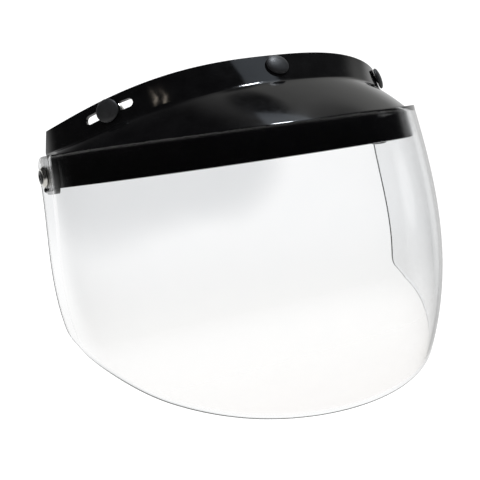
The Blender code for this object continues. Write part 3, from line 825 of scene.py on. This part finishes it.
def build_world():
    world = bpy.data.worlds.new("studio")
    bpy.context.scene.world = world
    world.use_nodes = True
    tree = world.node_tree
    background = tree.nodes["Background"]
    output = tree.nodes["World Output"]
    # what glossy and matt surfaces see: a dim room in front and a white sweep behind
    room = (0.012, 0.012, 0.013, 1.0)
    for centre, inner, outer, colour in (
            ((0.0, 0.0, -1.0), 58, 86, (0.85, 0.84, 0.82)),
            ((0.60, 0.42, 0.68), 8, 42, (0.44, 0.44, 0.43)),
            ((0.34, 0.25, 0.92), 1, 9, (0.03, 0.03, 0.03)),
            ((0.76, -0.05, 0.65), 9, 26, (0.035, 0.035, 0.035)),
            ((1.0, -0.12, 0.0), 1, 8, (0.42, 0.42, 0.42)),
            ((0.08, 1.0, 0.0), 30, 58, (1.0, 1.0, 1.0)),
            ((0.0, 0.75, 0.75), 8, 24, (0.25, 0.25, 0.26)),
            ((0.82, 0.57, 0.0), 6, 24, (0.68, 0.68, 0.68)),
            ((-1.0, 0.35, 0.75), 26, 64, (0.012, 0.012, 0.012))):
        room = sky_layer(tree, room, colour, direction_value(tree, centre, inner, outer))
    # what is seen through the lens: a white sweep, warmer below and greyer to the upper left
    seen = (1.07, 1.07, 1.07, 1.0)
    for centre, inner, outer, colour in (
            ((0.0, 0.0, -1.0), 78, 87, (1.000, 0.992, 0.978)),
            ((0.346, 0.951, 0.003), 0, 6.5, (0.85, 0.856, 0.863)),
            ((0.408, 0.918, -0.002), 0, 5.2, (0.85, 0.856, 0.863)),
            ((0.461, 0.890, -0.009), 0, 4.6, (0.85, 0.856, 0.863))):
        seen = sky_layer(tree, seen, colour, direction_value(tree, centre, inner, outer))
    paths = node(tree, "LightPath")
    straight = arithmetic(tree, "LESS_THAN", arithmetic(tree, "ADD", paths.outputs["Glossy Depth"],
                                                        paths.outputs["Diffuse Depth"]), 0.5)
    tree.links.new(room, background.inputs["Color"])
    sweep = node(tree, "Background", {"Color": seen})
    white = node(tree, "Background", {"Color": (1.0, 1.0, 1.0, 1.0), "Strength": 1.15})
    through = node(tree, "MixShader", {0: straight, 1: background.outputs[0], 2: sweep.outputs[0]})
    direct = node(tree, "MixShader", {0: paths.outputs["Is Camera Ray"],
                                      1: through.outputs[0], 2: white.outputs[0]})
    tree.links.new(direct.outputs[0], output.inputs["Surface"])


def build_floor():
    """A plain pale table top well below the shield, which fades out towards its back edge."""
    left, right, front, back, height = -3.0, 3.0, -1.1, 1.5, -0.40
    shape = bmesh.new()
    corners = [shape.verts.new((x, y, height)) for x, y in ((left, front), (right, front), (right, back),
                                                          (left, back))]
    shape.faces.new(corners)
    mesh = bpy.data.meshes.new("floor")
    shape.to_mesh(mesh)
    shape.free()
    floor = mesh_object("floor", mesh)
    material, tree, shader = look("pale_table", Roughness=0.9, Emission_Strength=0.9)
    coords = node(tree, "TexCoord").outputs["Object"]
    grain = noise(tree, coords, 14.0, 4.0)
    warm = tint(tree, grain, 0.3, 0.7, (0.99, 0.955, 0.925), (1.0, 0.97, 0.945))
    depth = node(tree, "SeparateXYZ", {0: coords}).outputs["Y"]
    far = spread(tree, depth, 0.5, 1.5, 0.0, 1.0)
    colour = node(tree, "Mix", {"Factor": far, 6: warm, 7: (1.0, 1.0, 1.0, 1.0)},
                  data_type="RGBA").outputs[2]
    direct = node(tree, "LightPath").outputs["Is Camera Ray"]
    colour = node(tree, "Mix", {"Factor": direct, 6: colour, 7: (1.2, 1.2, 1.2, 1.0)},
                  data_type="RGBA").outputs[2]
    tree.links.new(colour, shader.inputs["Emission Color"])
    tree.links.new(node(tree, "Mix", {"Factor": 0.7, 6: colour, 7: (0.0, 0.0, 0.0, 1.0)},
                        data_type="RGBA").outputs[2], shader.inputs["Base Color"])
    # rays that a glossy surface has turned pass through the table, so its edge isn't mirrored
    output = next(item for item in tree.nodes if item.bl_idname == "ShaderNodeOutputMaterial")
    turned = arithmetic(tree, "GREATER_THAN", node(tree, "LightPath").outputs["Glossy Depth"], 0.5)
    gone = arithmetic(tree, "MAXIMUM", turned, spread(tree, depth, 0.4, 1.45, 0.0, 1.0))
    open_air = node(tree, "BsdfTransparent")
    surface = node(tree, "MixShader", {0: gone, 1: shader.outputs[0], 2: open_air.outputs[0]})
    tree.links.new(surface.outputs[0], output.inputs["Surface"])
    mesh.materials.append(material)
    floor.visible_glossy = False


def area_light(name, position, target, size, energy, colour):
    data = bpy.data.lights.new(name, "AREA")
    data.shape = "RECTANGLE"
    data.size, data.size_y = size
    data.energy = energy
    data.color = colour
    lamp = bpy.data.objects.new(name, data)
    bpy.context.scene.collection.objects.link(lamp)
    lamp.location = position
    lamp.rotation_euler = (Vector(target) - Vector(position)).to_track_quat("-Z", "Y").to_euler()
    lamp.visible_camera = False


def build_camera():
    data = bpy.data.cameras.new("camera")
    camera = bpy.data.objects.new("camera", data)
    bpy.context.scene.collection.objects.link(camera)
    forward = Vector((0.46017, 0.88454, -0.07633))
    level_right = Vector((0.8871, -0.4615, 0.0))
    level_up = Vector((0.03523, 0.06771, 0.99705))
    roll = math.radians(8.3)
    right = level_right * math.cos(roll) - level_up * math.sin(roll)
    up = level_right * math.sin(roll) + level_up * math.cos(roll)
    matrix = Matrix((right, up, -forward)).transposed().to_4x4()
    matrix.translation = Vector((-0.29354, -0.48737, -0.03743))
    camera.matrix_world = matrix
    data.sensor_width = 36.0
    data.lens = 74.7
    data.shift_x = 0.0183
    data.shift_y = -0.0327
    data.clip_start = 0.01
    bpy.context.scene.camera = camera


# name, position, point it faces, size, power and colour
PANE_TARGET, PANE_SIZE, PANE_POWER, PANE_COLOUR = (-0.06, 0.0, 0.0), (0.060, 0.015), 0.026, (1.0, 0.88, 0.74)
LIGHTS = (
    ("overhead_panel", (0.425, -0.13, 1.0), (0.425, -0.13, 0.0), (0.31, 0.58), 0.52, (0.80, 0.89, 1.0)),
    ("overhead_lamp", (0.32, -0.10, 0.99), (0.0, 0.0, 0.0), (0.12, 0.12), 4.8, (0.88, 0.93, 1.0)),
    ("window_0", (-0.620, -0.445, 0.770), PANE_TARGET, PANE_SIZE, PANE_POWER, PANE_COLOUR),
    ("window_1", (-0.534, -0.458, 0.825), PANE_TARGET, PANE_SIZE, PANE_POWER, PANE_COLOUR),
)

bpy.context.scene.view_settings.view_transform = "Standard"
build_world()
build_floor()
for light in LIGHTS:
    area_light(*light)
build_camera()
